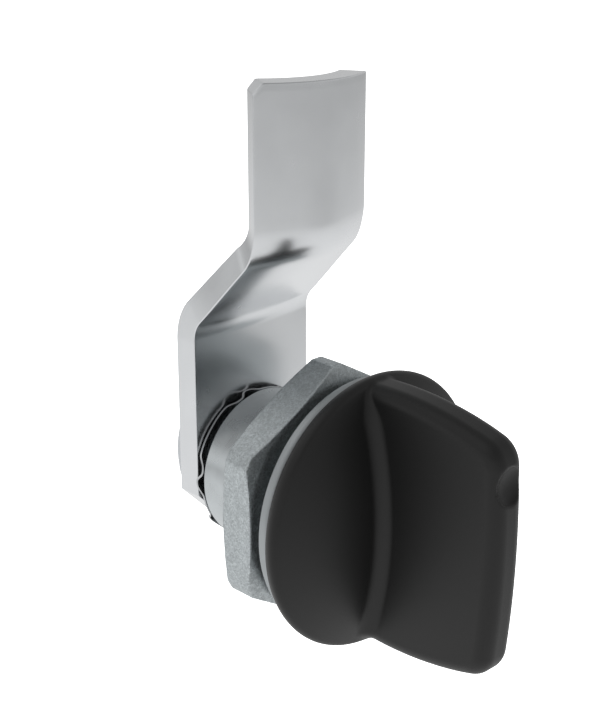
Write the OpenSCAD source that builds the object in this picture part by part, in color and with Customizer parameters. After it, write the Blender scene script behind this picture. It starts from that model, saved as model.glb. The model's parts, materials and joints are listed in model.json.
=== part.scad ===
// Quarter-turn cam latch with a wing knob.
// The turning axis is Y: the knob points to -Y, the cam sits at +Y and points up.
// The origin is on the axis, in the plane where the flange seats on the panel.

/* [Knob] */
// Diameter of the knob's round disc
knob_d = 31.1; // [29:0.1:36]
// Radius of the disc's rounded front edge
knob_rim_r = 0.8; // [0.6:0.05:1.4]
// Radius of the disc's rounded back edge
knob_back_r = 1.55; // [1.4:0.05:2]
// Radius of the domed front of the disc
knob_dome_r = 42; // [32:1:70]
// Depth of the knob from its back face to the front of the wing
knob_depth = 20.1; // [15:0.05:26]
// Thickness of the wing
wing_t = 4.6; // [3.6:0.1:6]
// Height of the wing above the axis, at the disc
wing_up = 15.3; // [13:0.1:15.5]
// Height of the wing below the axis, at the disc
wing_down = 14.9; // [13:0.1:15.5]
// Radius of the bowed top and bottom edges of the wing
wing_bow_r = 44; // [35:1:80]
// Radius of the bowed front edge of the wing
wing_front_r = 120; // [100:5:300]
// Height of the foremost point of the wing's front edge above the axis
wing_front_z = 2.5; // [0:0.1:4]
// Rounding of the wing's front edge
wing_nose_r = 1.7; // [1.1:0.1:2]
// Corner radius of the wing's outline
wing_corner_r = 3.2; // [2:0.1:5]
// Rounding of the wing's long edges
wing_edge_r = 1.1; // [0.6:0.1:1.6]
// Fillet between the wing's sides and the dome
root_fillet_r = 1.5; // [0.8:0.1:2.5]
// Diameter of the marker dimple in the wing's front edge
dimple_d = 4.2; // [2:0.1:4.4]
// Depth of the marker dimple
dimple_depth = 1.1; // [0.4:0.1:1.8]
// Height of the marker dimple above the axis
dimple_z = 8.9; // [5:0.1:10]

/* [Housing] */
// Diameter of the flange
flange_d = 28.6; // [26:0.1:30]
// Thickness of the flange's visible edge
flange_t = 1.3; // [1:0.05:2.2]
// Diameter of the raised middle of the flange, under the knob
boss_d = 25; // [21:0.1:26.5]
// Height of the raised middle of the flange
boss_h = 1.3; // [0.6:0.05:1.6]
// Rounding of the flange's front edge
flange_edge_r = 0.7; // [0.2:0.05:0.9]
// Diameter of the threaded front of the barrel
thread_d = 20; // [19.2:0.1:22]
// Diameter of the plain rear of the barrel
barrel_d = 17.8; // [17:0.1:18.8]
// Length of the barrel behind the flange
barrel_l = 14.85; // [13:0.05:22]
// Depth behind the flange to which the knob's hub reaches
hub_reach = 1.9; // [1.5:0.05:3]

/* [Panel nut] */
// Panel thickness between the flange and the nut
panel_t = 2.05; // [1:0.05:4]
// Width across the nut's flats
nut_af = 27; // [25:0.5:32]
// Thickness of the nut
nut_t = 4.4; // [3:0.1:6]
// Distance from the axis to the cut faces of the nut's corners
nut_corner_r = 15.2; // [14.8:0.05:15.4]
// Slope of the nut's face chamfers in degrees
nut_chamfer_deg = 17; // [10:1:30]

/* [Spindle] */
// Diameter of the spindle in the housing's bore
spindle_d = 12; // [11.6:0.1:12.6]
// Width of the square that carries the cam
cam_square = 8; // [7:0.1:8.2]
// Width of the square that carries the knob
knob_square = 8; // [6:0.1:9]
// Diameter of the collar behind the knob's hub
collar_d = 13; // [12.8:0.1:13.6]
// Thickness of the collar
collar_t = 1.3; // [1:0.05:2]
// Width of the stop lug on the collar in degrees
lug_deg = 36; // [20:1:60]
// Turn between the two stops in degrees
turn_deg = 90; // [45:5:180]
// Diameter of the cross pin in the knob's hub
pin_d = 2.5; // [1.5:0.1:2.6]

/* [Seals and rings] */
// Thickness of the spindle's seal ring
seal_t = 1.5; // [1:0.1:2]
// Thickness of the seal ring under the flange
flange_seal_t = 1.5; // [1:0.1:1.7]
// Mean diameter of the seal ring under the flange
flange_seal_d = 24; // [23.2:0.1:24.6]
// How far the flange's seal stands out before it is clamped
seal_proud = 0.3; // [0.1:0.05:0.5]
// Thickness of the thrust washer
thrust_t = 0.6; // [0.4:0.05:0.8]
// Thickness of the retaining ring
ring_t = 1; // [0.8:0.05:1.2]
// Depth of the retaining ring's groove in the spindle
ring_groove = 0.5; // [0.3:0.05:0.7]
// Opening of the retaining ring in degrees
ring_open_deg = 50; // [30:5:90]

/* [Wave washer] */
// Space between the barrel's rear end and the cam
wave_space = 1.25; // [1.1:0.05:1.8]
// Thickness of the wave washer's strip
wave_t = 0.25; // [0.2:0.05:0.4]
// Number of times the washer's folds repeat round the ring
wave_n = 3; // [2:1:4]
// Direction of the first broad fold in degrees
wave_turn = 140; // [0:1:360]

/* [Cam] */
// Width of the cam
cam_w = 16.8; // [14:0.1:20]
// Thickness of the cam
cam_t = 3; // [2.5:0.1:4]
// Length of the cam from the axis to its tip
cam_l = 45.6; // [40:0.1:60]
// Length of the cam below the axis
cam_tail = 7.8; // [7:0.1:9]
// Height at which the cam leaves its flat shank
crank_z = 16.2; // [14:0.1:20]
// Angle of the cranked part in degrees
crank_deg = 49; // [35:1:55]
// Distance that the cam's middle is cranked forward
crank_y = 11.3; // [8:0.1:12]
// Inner radius of the cam's bends
bend_r = 3.35; // [2:0.05:4]
// Radius of the tip's crowned front
crown_r = 21; // [13:0.5:40]
// Height at which the crown has its full depth
crown_z = 24.5; // [22:0.1:32]
// Size of the cut corner at the tip
tip_cut = 1.05; // [0.5:0.05:3]
// Slope of the tip's end across the cam in degrees
tip_slope = 2.5; // [0:0.1:5]
// Size of the cut corners at the tail
tail_cut = 5.4; // [2:0.1:6]

/* [Cam screw] */
// Thread diameter of the cam screw
screw_d = 6; // [4:0.5:6]
// Length of the cam screw under its head
screw_l = 12; // [10:0.5:14]
// Width across the flats of the screw's head
head_af = 10; // [8:0.5:12]
// Height of the screw's head
head_h = 4.2; // [3:0.1:5]
// Thickness of the lock washer
lock_t = 0.8; // [0.5:0.05:1.2]
// Diameter of the lock washer
lock_d = 12; // [11:0.1:12.4]
// Number of teeth on the lock washer
lock_teeth = 10; // [6:1:14]

/* [Hidden] */
$fn = 64;

// Clearances: running fits, parts that face each other across the turn, and loose holes
run_gap = 0.05;
face_gap = 0.1;
disc_gap = 0.2;
loose_gap = 0.1;
stop_gap_deg = 0.5;
// Small overlap of joined shapes, and the overrun of cutting shapes
eps = 0.01;
over = 1;

// Stations along the axis, from the knob's front to the screw's head
flange_y = -flange_t;
boss_y = flange_y - boss_h;
knob_y = flange_y - disc_gap;
recess_y = boss_y - disc_gap;
front_y = knob_y - knob_depth;
rim_y = knob_y - knob_back_r;
collar_y = hub_reach + face_gap;
floor_y = collar_y + collar_t + face_gap;
// Room before and behind the retaining ring in its pocket
ring_side = 0.5;
ring_pocket_y = barrel_l - thrust_t - ring_t - 2 * ring_side;
cam_y = barrel_l + wave_space;
cam_back_y = cam_y + cam_t;
nut_y = panel_t;
head_y = cam_back_y + lock_t;

// Dome of the knob: its sphere runs tangent into the disc's rounded front edge
rim_c = knob_d / 2 - knob_rim_r;
back_c = knob_d / 2 - knob_back_r;
dome_y = rim_y + sqrt(pow(knob_dome_r - knob_rim_r, 2) - pow(rim_c, 2));
dome_apex_y = dome_y - knob_dome_r;

// Knob hub and its socket
hub_step = 1.9;
hub_d = spindle_d + 2 * hub_step;
hub_pocket_d = hub_d + 2 * loose_gap;
socket_wall = 1.6;
socket_y = dome_apex_y + socket_wall;
pin_y = (knob_y + hub_reach) / 2;
pin_l = hub_d - 2 * face_gap;

// Inner radius of the stop lug and of its recess, inside the collar's edge
lug_in_r = (spindle_d + collar_d) / 4;

// Spindle seal groove, halfway along the bore
seal_groove = seal_t + 2 * loose_gap;
seal_groove_d = spindle_d - 2 * seal_t;
seal_y = (floor_y + ring_pocket_y) / 2;

// Retaining ring and thrust washer in the rear pocket
ring_width = 1.3;
ring_pocket_d = spindle_d + 2 * ring_width;
ring_in_d = spindle_d - 2 * ring_groove + 2 * run_gap;
ring_out_d = ring_pocket_d - 6 * loose_gap;
ring_y = ring_pocket_y + thrust_t + run_gap;

// Wave washer ring
wave_in_d = spindle_d + 6 * loose_gap;
wave_out_d = barrel_d;
wave_lift = wave_space / 2 - wave_t / 2 - run_gap;

// Tapped hole and screw
screw_tip_y = head_y - screw_l;
tap_y = screw_tip_y - over;
square_end_y = cam_back_y - disc_gap;

// Flat land between a hexagon's flats and its face chamfer, and the slope of the head's chamfer
hex_land = 0.15;
head_chamfer_deg = 30;

// Stands a shape drawn along local Z on the latch's axis, starting at station y
module on_axis(y) {
    translate([0, y, 0]) rotate([-90, 0, 0]) children();
}

// Turns a profile drawn as [radius, station] round the latch's axis
module turned(deg = 360) {
    on_axis(0) rotate_extrude(angle = deg) children();
}

// Round disc between two stations
module round_bar(d, y0, y1) {
    on_axis(y0) cylinder(d = d, h = y1 - y0);
}

// Square bar between two stations
module square_bar(w, y0, y1) {
    translate([-w / 2, y0, -w / 2]) cube([w, y1 - y0, w]);
}

// Hexagon bar with a corner pointing up
module hex_bar(af, y0, y1) {
    on_axis(y0) rotate(30) cylinder(d = af / cos(30), h = y1 - y0, $fn = 6);
}

// Sector of a ring from radius r0 to r1, starting at deg0 and spanning deg
module ring_sector(r0, r1, y0, y1, deg0, deg) {
    on_axis(0) rotate(deg0) rotate_extrude(angle = deg) translate([r0, y0]) square([r1 - r0, y1 - y0]);
}

// Side view of the wing, with [station, height] as [x, y], shrunk by inset
module wing_outline(inset) {
    height = wing_up + wing_down;
    offset(r = wing_corner_r - inset) offset(delta = -wing_corner_r) intersection() {
        translate([front_y, -height]) square([-front_y + recess_y, 2 * height]);
        translate([front_y + wing_front_r, wing_front_z]) circle(r = wing_front_r, $fn = 360);
        translate([dome_apex_y, wing_up - wing_bow_r]) circle(r = wing_bow_r, $fn = 180);
        translate([dome_apex_y, wing_bow_r - wing_down]) circle(r = wing_bow_r, $fn = 180);
    }
}

// Plate of the wing with all its edges rounded
module wing_plate() {
    flat_t = wing_t - 2 * wing_edge_r;
    minkowski() {
        translate([-flat_t / 2, 0, 0]) rotate([90, 0, 90]) linear_extrude(flat_t) wing_outline(wing_edge_r);
        sphere(r = wing_edge_r, $fn = 20);
    }
}

// Wing with a fuller rounding along its front edge, swept on the front edge's bow
module wing() {
    depth = recess_y - front_y + over;
    reach = asin((wing_up + wing_down) / (wing_front_r - depth));
    intersection() {
        wing_plate();
        translate([0, front_y + wing_front_r, wing_front_z]) rotate([0, 90, 0]) rotate(-90 - reach)
            rotate_extrude(angle = 2 * reach, $fn = 360) {
                translate([wing_front_r - depth, -wing_t / 2]) square([depth - wing_nose_r, wing_t]);
                translate([wing_front_r - depth, wing_nose_r - wing_t / 2])
                    square([depth, wing_t - 2 * wing_nose_r]);
                for (side = [-1, 1])
                    translate([wing_front_r - wing_nose_r, side * (wing_t / 2 - wing_nose_r)])
                        circle(r = wing_nose_r, $fn = 32);
            }
    }
}

// Fillet on one side of the wing: a ball rolled between the wing's flat side and the dome
module root_fillet() {
    ball_x = wing_t / 2 + root_fillet_r;
    ball_r = sqrt(pow(knob_dome_r + root_fillet_r, 2) - pow(ball_x, 2));
    touch = knob_dome_r / (knob_dome_r + root_fillet_r);
    reach = asin((wing_down - 2 * wing_edge_r) / knob_dome_r);
    translate([0, dome_y, 0]) rotate([0, 90, 0]) rotate(-90 - reach)
        rotate_extrude(angle = 2 * reach, $fn = 180) difference() {
            polygon([[ball_r, wing_t / 2 - eps], [ball_r * touch, ball_x * touch],
                     [ball_r * touch - root_fillet_r, ball_x * touch - root_fillet_r],
                     [ball_r * touch - root_fillet_r, wing_t / 4], [ball_r, wing_t / 4]]);
            translate([ball_r, ball_x]) circle(r = root_fillet_r);
        }
}

// Domed disc with rounded front and back edges, and the hub that reaches into the housing
module knob_disc() {
    intersection() {
        translate([0, dome_y, 0]) sphere(r = knob_dome_r, $fn = 180);
        turned() {
            translate([0, dome_apex_y - over]) square([rim_c, rim_y - dome_apex_y + over]);
            translate([rim_c, rim_y]) circle(r = knob_rim_r);
            translate([0, rim_y]) square([back_c, knob_back_r]);
            intersection() {
                translate([back_c, rim_y]) circle(r = knob_back_r);
                translate([0, rim_y]) square([knob_d / 2, knob_back_r]);
            }
        }
    }
    round_bar(hub_d, rim_y, hub_reach);
}

module knob() {
    color("#2b2b2b") difference() {
        union() {
            knob_disc();
            wing();
            root_fillet();
            mirror([1, 0, 0]) root_fillet();
        }
        turned() difference() {
            translate([0, recess_y]) square([boss_d / 2 + disc_gap, knob_y - recess_y + eps]);
            translate([0, recess_y - over]) square([hub_d / 2, knob_y - recess_y + 2 * over]);
        }
        square_bar(knob_square + 2 * run_gap, socket_y, hub_reach + over);
        translate([-hub_d, pin_y, 0]) rotate([0, 90, 0]) cylinder(d = pin_d, h = 2 * hub_d);
        translate([0, front_y, dimple_z]) scale([dimple_d / 2, dimple_depth, dimple_d / 2]) sphere(r = 1);
    }
}

// Cross pin that holds the knob on the spindle's front square
module knob_pin() {
    color("#b8babd") translate([-pin_l / 2, pin_y, 0]) rotate([0, 90, 0]) cylinder(d = pin_d, h = pin_l);
}

module spindle() {
    color("#b4b6b8") difference() {
        union() {
            square_bar(knob_square, socket_y + face_gap, collar_y + eps);
            round_bar(collar_d, collar_y, collar_y + collar_t);
            ring_sector(lug_in_r, hub_d / 2, collar_y + face_gap, collar_y + collar_t - face_gap,
                        -lug_deg / 2, lug_deg);
            round_bar(spindle_d, collar_y, cam_y);
            square_bar(cam_square, cam_y - over, square_end_y);
        }
        translate([-hub_d, pin_y, 0]) rotate([0, 90, 0]) cylinder(d = pin_d, h = 2 * hub_d);
        turned() translate([seal_groove_d / 2, seal_y - seal_groove / 2]) square([spindle_d, seal_groove]);
        turned() translate([spindle_d / 2 - ring_groove, ring_y - run_gap])
            square([spindle_d, ring_t + 2 * run_gap]);
        round_bar(screw_d, tap_y, square_end_y + over);
    }
}

// Seal ring in the spindle's groove
module spindle_seal() {
    color("#1e1e1e") turned() translate([(spindle_d - seal_t) / 2, seal_y]) circle(d = seal_t - run_gap);
}

module housing() {
    edge_c = flange_d / 2 - flange_edge_r;
    groove_w = flange_seal_t + 2 * run_gap;
    color("#b2b6b8") difference() {
        union() {
            turned() {
                translate([0, flange_y + flange_edge_r]) square([flange_d / 2, flange_t - flange_edge_r]);
                translate([0, flange_y]) square([edge_c, flange_t]);
                translate([edge_c, flange_y + flange_edge_r]) circle(r = flange_edge_r);
            }
            round_bar(boss_d, boss_y, -eps);
            round_bar(thread_d - 2 * run_gap, -eps, panel_t + nut_t);
            round_bar(barrel_d, -eps, barrel_l);
        }
        round_bar(hub_pocket_d, boss_y - over, hub_reach + face_gap / 2);
        round_bar(collar_d + 2 * loose_gap, boss_y, floor_y);
        ring_sector(lug_in_r, hub_d / 2 + run_gap, hub_reach, floor_y - face_gap,
                    -lug_deg / 2 - stop_gap_deg, lug_deg + turn_deg + 2 * stop_gap_deg);
        round_bar(spindle_d + 2 * run_gap, floor_y - over, barrel_l + over);
        round_bar(ring_pocket_d, ring_pocket_y, barrel_l + over);
        turned() translate([(flange_seal_d - groove_w) / 2, seal_proud - flange_seal_t - run_gap])
            square([groove_w, flange_seal_t]);
    }
}

// Seal ring in the groove of the flange's back face
module flange_seal() {
    color("#1e1e1e") turned() translate([flange_seal_d / 2, seal_proud - flange_seal_t / 2])
        circle(d = flange_seal_t);
}

module panel_nut() {
    chamfer_r = nut_af / 2 - hex_land;
    drop = (nut_af - chamfer_r) * tan(nut_chamfer_deg);
    back_y = nut_y + nut_t;
    color("#9da2a4") difference() {
        intersection() {
            hex_bar(nut_af, nut_y, back_y);
            on_axis(nut_y) cylinder(d = 2 * nut_corner_r / cos(30), h = nut_t, $fn = 6);
            turned() polygon([[0, nut_y], [chamfer_r, nut_y], [nut_af, nut_y + drop],
                              [nut_af, back_y - drop], [chamfer_r, back_y], [0, back_y]]);
        }
        round_bar(thread_d, nut_y - over, back_y + over);
    }
}

module thrust_washer() {
    color("#c4c6c8") difference() {
        round_bar(ring_out_d, ring_pocket_y, ring_pocket_y + thrust_t);
        round_bar(spindle_d + 2 * loose_gap, ring_pocket_y - over, ring_pocket_y + thrust_t + over);
    }
}

// Open ring that snaps into the spindle's rear groove
module retaining_ring() {
    color("#8d9093") ring_sector(ring_in_d / 2, ring_out_d / 2, ring_y, ring_y + ring_t,
                                 ring_open_deg / 2, 360 - ring_open_deg);
}

// Folds of the wave washer's strip over half a repeat, as [share of the half, height], and the eased
// height at an angle from the middle of a broad fold
wave_folds = [[0, 0.65], [0.3, 0.75], [0.52, -1], [0.69, 1], [0.88, -1], [1, -1]];
function ripple(a) =
    let (turns = a * wave_n / 360,
         u = 2 * abs(turns - round(turns)),
         i = max([for (k = [0 : len(wave_folds) - 2]) if (wave_folds[k][0] <= u) k]),
         p = wave_folds[i],
         q = wave_folds[i + 1])
    p[1] + (q[1] - p[1]) * (1 - cos(180 * (u - p[0]) / (q[0] - p[0]))) / 2;

module wave_washer() {
    steps = 60 * wave_n;
    mid_y = barrel_l + wave_space / 2;
    corners = [[wave_in_d, -wave_t], [wave_out_d, -wave_t], [wave_out_d, wave_t], [wave_in_d, wave_t]] / 2;
    points = [for (i = [0 : steps - 1], c = corners) let (a = i * 360 / steps)
              [c[0] * cos(a), mid_y + wave_lift * ripple(a - wave_turn) + c[1], c[0] * sin(a)]];
    faces = [for (i = [0 : steps - 1], k = [0 : 3])
             let (n = (i + 1) % steps, m = (k + 1) % 4) [4 * i + k, 4 * n + k, 4 * n + m, 4 * i + m]];
    color("#d4d6d8") polyhedron(points, faces);
}

// Middle line of the cam's front face as [station, height, share of the crown, heading in degrees]
bend_out_r = bend_r + cam_t;
bend_steps = 6;
slant_steps = 6;
slant_l = (crank_y - (bend_r + bend_out_r) * (1 - cos(crank_deg))) / sin(crank_deg);
slant_y = cam_y - bend_r * (1 - cos(crank_deg));
slant_z = crank_z + bend_r * sin(crank_deg);
tip_y = cam_y - crank_y;
tip_z = slant_z + slant_l * cos(crank_deg) + bend_out_r * sin(crank_deg);
function crown_share(z) = let (u = min(1, max(0, (z - crank_z) / (crown_z - crank_z)))) u * u * (3 - 2 * u);
cam_line = [
    [cam_y, -cam_tail, 0],
    for (i = [0 : bend_steps]) let (a = crank_deg * i / bend_steps)
        [cam_y - bend_r * (1 - cos(a)), crank_z + bend_r * sin(a), a],
    for (i = [1 : slant_steps - 1]) let (s = slant_l * i / slant_steps)
        [slant_y - s * sin(crank_deg), slant_z + s * cos(crank_deg), crank_deg],
    for (i = [bend_steps : -1 : 0]) let (a = crank_deg * i / bend_steps)
        [tip_y + bend_out_r * (1 - cos(a)), tip_z - bend_out_r * sin(a), a]
];

// Stations across the cam, with one where the cut corner begins, and the tip's height at each
cam_cols = 12;
cam_xs = [-cam_w / 2, for (i = [0 : cam_cols]) tip_cut - cam_w / 2 + (cam_w - tip_cut) * i / cam_cols];
function tip_end(x) = cam_l - x * tan(tip_slope) - max(0, tip_cut - cam_w / 2 - x);

// Point on the cam's front face, or on its back face one thickness behind it
function cam_point(p, x, back) =
    let (share = crown_share(p[1]),
         bend = x / crown_r * 180 / PI,
         crowned = [crown_r * sin(bend) - x, crown_r * (1 - cos(bend)), 0],
         across = share * tan(bend),
         n = [-across, 1, tan(p[2])] / norm([-across, 1, tan(p[2])]))
    [x, p[0], p[1]] + share * crowned + back * cam_t * n;

// Section of the cam on its middle line, or at its tip: the front from left to right, then the back
function cam_section(p, tip = false) =
    let (last = len(cam_xs) - 1,
         at = [for (x = cam_xs) [p[0], tip ? tip_end(x) : p[1], p[2]]])
    concat([for (i = [0 : last]) cam_point(at[i], cam_xs[i], 0)],
           [for (i = [last : -1 : 0]) cam_point(at[i], cam_xs[i], 1)]);

module cam_sheet() {
    ring = 2 * len(cam_xs);
    rows = len(cam_line);
    points = [for (p = cam_line) each cam_section(p), each cam_section([tip_y, cam_l, 0], true)];
    faces = concat(
        [for (j = [0 : rows - 1], i = [0 : ring - 1]) let (n = (i + 1) % ring)
            [ring * j + i, ring * (j + 1) + i, ring * (j + 1) + n, ring * j + n]],
        [for (j = [0, rows], i = [0 : len(cam_xs) - 2])
            let (f = [ring * j + i, ring * j + i + 1, ring * j + ring - 2 - i, ring * j + ring - 1 - i])
            j == 0 ? f : [f[3], f[2], f[1], f[0]]]);
    polyhedron(points, faces);
}

// Cuts a corner of the cam at 45 degrees, in front view
module corner_cut(x, z, size) {
    side = size * sqrt(2);
    translate([x, 0, z]) rotate([0, 45, 0]) cube([side, 4 * cam_y, side], center = true);
}

module cam() {
    color("#c2c4c7") difference() {
        cam_sheet();
        square_bar(cam_square + 2 * run_gap, cam_y - over, cam_back_y + over);
        corner_cut(-cam_w / 2, -cam_tail, tail_cut);
        corner_cut(cam_w / 2, -cam_tail, tail_cut);
    }
}

// Toothed lock washer under the screw's head
module lock_washer() {
    slot_w = PI * lock_d / lock_teeth / 3;
    color("#a9acaf") difference() {
        round_bar(lock_d, cam_back_y, head_y);
        round_bar(screw_d + 2 * loose_gap, cam_back_y - over, head_y + over);
        for (i = [0 : lock_teeth - 1]) rotate([0, i * 360 / lock_teeth, 0])
            translate([head_af / 2 - disc_gap, cam_back_y - over, -slot_w / 2])
                cube([lock_d, lock_t + 2 * over, slot_w]);
    }
}

module cam_screw() {
    chamfer_r = head_af / 2 - hex_land;
    drop = (head_af - chamfer_r) * tan(head_chamfer_deg);
    color("#c6c8ca") union() {
        intersection() {
            hex_bar(head_af, head_y, head_y + head_h);
            turned() polygon([[0, head_y], [head_af, head_y], [head_af, head_y + head_h - drop],
                              [chamfer_r, head_y + head_h], [0, head_y + head_h]]);
        }
        round_bar(screw_d - 2 * run_gap, screw_tip_y, head_y + eps);
    }
}

knob();
knob_pin();
spindle();
spindle_seal();
housing();
flange_seal();
panel_nut();
thrust_washer();
retaining_ring();
wave_washer();
cam();
lock_washer();
cam_screw();
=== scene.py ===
"""Looks of a quarter-turn cam latch, built round its packed CAD model.

Shapes are worked out in millimetres in the part's own frame: the turning axis is Y, the knob points to
-Y, the cam sits at +Y and points up, and the flange seats on the panel at Y = 0.
"""

import itertools
import json
import math
from types import SimpleNamespace

import bpy
import numpy as np
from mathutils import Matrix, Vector


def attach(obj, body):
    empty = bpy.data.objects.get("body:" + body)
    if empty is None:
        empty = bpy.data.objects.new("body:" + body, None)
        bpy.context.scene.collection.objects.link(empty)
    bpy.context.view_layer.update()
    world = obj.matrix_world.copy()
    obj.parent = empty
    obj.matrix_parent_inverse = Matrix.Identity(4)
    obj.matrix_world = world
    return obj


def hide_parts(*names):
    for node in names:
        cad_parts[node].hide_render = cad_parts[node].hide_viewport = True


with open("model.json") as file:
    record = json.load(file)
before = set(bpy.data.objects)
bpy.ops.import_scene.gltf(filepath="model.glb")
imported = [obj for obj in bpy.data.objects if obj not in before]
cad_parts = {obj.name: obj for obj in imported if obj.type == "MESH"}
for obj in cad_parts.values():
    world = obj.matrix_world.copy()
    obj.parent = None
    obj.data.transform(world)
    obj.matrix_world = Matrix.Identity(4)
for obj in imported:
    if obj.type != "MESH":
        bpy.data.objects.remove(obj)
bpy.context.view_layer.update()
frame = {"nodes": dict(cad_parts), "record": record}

bl_info = {
    "name": "Quarter-Turn Cam Latch",
    "version": (1, 0, 0),
    "blender": (4, 5, 0),
    "location": "3D View > Sidebar > Latch",
    "description": "Builds the visible pieces, finishes and stage of a quarter-turn cam latch",
    "category": "Add Mesh",
}

MM = 0.001
HOUSING_BODY = "fixed_housing"
TURNING_BODY = "turning_spindle"
# Spacing of the sample grids in millimetres.
KNOB_GRID, NUT_GRID, SCREW_GRID = 0.23, 0.2, 0.14


def size(name, description, mm):
    """A length property, given in millimetres and kept in metres."""
    return bpy.props.FloatProperty(
        name=name, description=description, default=mm * MM, unit="LENGTH", precision=5)


def angle(name, description, degrees):
    """An angle property, given in degrees and kept in radians."""
    return bpy.props.FloatProperty(
        name=name, description=description, default=math.radians(degrees), unit="ROTATION")


def colour(name, description, hex_code):
    """A colour property, given as an sRGB hex value and kept linear."""
    return bpy.props.FloatVectorProperty(
        name=name, description=description, default=linear(hex_code), subtype="COLOR", size=4)


def linear(hex_code):
    """Linear RGBA of an sRGB hex value such as #2b2b2b."""
    parts = [int(hex_code[i:i + 2], 16) / 255 for i in (1, 3, 5)]
    return [c / 12.92 if c <= 0.04045 else ((c + 0.055) / 1.055) ** 2.4 for c in parts] + [1.0]


class LatchKnob(bpy.types.PropertyGroup):
    """Sizes of the wing knob."""
    disc_d: size("Disc Diameter", "Diameter of the knob's round disc", 31.1)
    rim_r: size("Rim Radius", "Radius of the disc's rounded front edge", 0.8)
    back_r: size("Back Edge Radius", "Radius of the disc's rounded back edge", 1.55)
    dome_r: size("Dome Radius", "Radius of the disc's domed front", 42)
    back_y: size("Back Station", "Station of the disc's back face", -1.5)
    front_y: size("Front Station", "Station of the wing's front edge", -21.6)
    wing_t: size("Wing Thickness", "Thickness of the wing", 4.6)
    wing_up: size("Wing Rise", "Height of the wing above the axis", 15.3)
    wing_down: size("Wing Drop", "Height of the wing below the axis", 14.9)
    wing_bow_r: size("Wing Bow Radius", "Radius of the wing's bowed top and bottom edges", 44)
    wing_front_r: size("Wing Front Radius", "Radius of the wing's bowed front edge", 120)
    wing_front_z: size("Wing Front Height", "Height of the foremost point of the wing's front edge", 2.5)
    wing_corner_r: size("Wing Corner Radius", "Corner radius of the wing's outline", 3.2)
    wing_edge_r: size("Wing Edge Radius", "Rounding of the wing's long edges", 1.6)
    nose_r: size("Nose Radius", "Rounding of the wing's front edges", 1.7)
    root_r: size("Root Fillet", "Fillet between the wing's sides and the dome", 1.5)
    dimple_d: size("Dimple Diameter", "Diameter of the marker dimple", 4.2)
    dimple_depth: size("Dimple Depth", "Depth of the marker dimple", 1.1)
    dimple_z: size("Dimple Height", "Height of the marker dimple above the axis", 8.9)
    recess_d: size("Recess Diameter", "Diameter of the recess over the flange's boss", 25.4)
    recess_y: size("Recess Station", "Station of the recess's floor", -2.8)
    hub_d: size("Hub Diameter", "Diameter of the hub in the housing", 15.8)
    hub_y: size("Hub Station", "Station of the hub's end", 1.9)
    socket_w: size("Socket Width", "Width of the square socket for the spindle", 8.1)
    socket_y: size("Socket Station", "Station of the socket's floor", -4.98)
    pin_d: size("Pin Hole", "Diameter of the cross pin's hole in the hub", 2.5)
    pin_y: size("Pin Station", "Station of the cross pin", 0.2)


class LatchHousing(bpy.types.PropertyGroup):
    """Sizes of the flanged housing."""
    flange_d: size("Flange Diameter", "Diameter of the flange", 28.6)
    flange_t: size("Flange Thickness", "Thickness of the flange's visible edge", 1.3)
    flange_edge_r: size("Flange Edge", "Rounding of the flange's front edge", 1.0)
    boss_d: size("Boss Diameter", "Diameter of the raised middle under the knob", 25)
    boss_y: size("Boss Station", "Station of the boss's front", -2.6)
    thread_d: size("Thread Diameter", "Outer diameter of the panel thread", 19.9)
    thread_pitch: size("Thread Pitch", "Pitch of the panel thread", 1.5)
    thread_l: size("Thread Length", "Length of the panel thread behind the flange", 6.45)
    barrel_d: size("Barrel Diameter", "Diameter of the plain rear of the barrel", 17.8)
    barrel_l: size("Barrel Length", "Length of the barrel behind the flange", 14.85)
    seal_in_d: size("Seal Groove Inner", "Inner diameter of the flange's seal groove", 22.4)
    seal_out_d: size("Seal Groove Outer", "Outer diameter of the flange's seal groove", 25.6)
    seal_y: size("Seal Groove Station", "Station of the seal groove's floor", -1.25)
    hub_pocket_d: size("Hub Pocket", "Diameter of the pocket for the knob's hub", 16)
    hub_pocket_y: size("Hub Pocket Station", "Station of the hub pocket's floor", 1.95)
    collar_pocket_d: size("Collar Pocket", "Diameter of the pocket for the spindle's collar", 13.2)
    collar_pocket_y: size("Collar Pocket Station", "Station of the collar pocket's floor", 3.4)
    bore_d: size("Bore Diameter", "Diameter of the spindle's bore", 12.1)
    stop_in_d: size("Stop Recess Inner", "Inner diameter of the stop lug's recess", 12.5)
    stop_out_d: size("Stop Recess Outer", "Outer diameter of the stop lug's recess", 15.9)
    stop_y: size("Stop Recess Station", "Station of the stop recess's floor", 3.3)
    stop_start: angle("Stop Recess Start", "Where the stop recess starts, from +X towards -Z", -18.5)
    stop_sweep: angle("Stop Recess Sweep", "Angle that the stop recess spans", 127)
    ring_pocket_d: size("Ring Pocket", "Diameter of the retaining ring's pocket", 14.6)
    ring_pocket_y: size("Ring Pocket Station", "Station of the ring pocket's floor", 12.25)


class LatchHexagons(bpy.types.PropertyGroup):
    """Sizes of the panel nut and of the cam screw."""
    nut_af: size("Nut Across Flats", "Width across the nut's flats", 27)
    nut_corner_r: size("Nut Corner Reach", "Distance from the axis to the nut's cut corners", 15.2)
    nut_y: size("Nut Station", "Station of the nut's front face", 2.05)
    nut_t: size("Nut Thickness", "Thickness of the nut", 4.4)
    nut_bore_d: size("Nut Bore", "Diameter of the nut's thread", 20)
    nut_chamfer: angle("Nut Chamfer", "Slope of the nut's face chamfers", 17)
    head_af: size("Head Across Flats", "Width across the flats of the screw's head", 10)
    head_y: size("Head Station", "Station of the head's seat", 19.9)
    head_h: size("Head Height", "Height of the screw's head", 4.2)
    head_chamfer: angle("Head Chamfer", "Slope of the head's chamfer", 30)
    shank_d: size("Shank Diameter", "Diameter of the screw's shank", 5.9)
    shank_y: size("Shank Station", "Station of the screw's tip", 7.9)
    edge_r: size("Edge Rounding", "Rounding of the hexagons' edges", 0.1)


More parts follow.
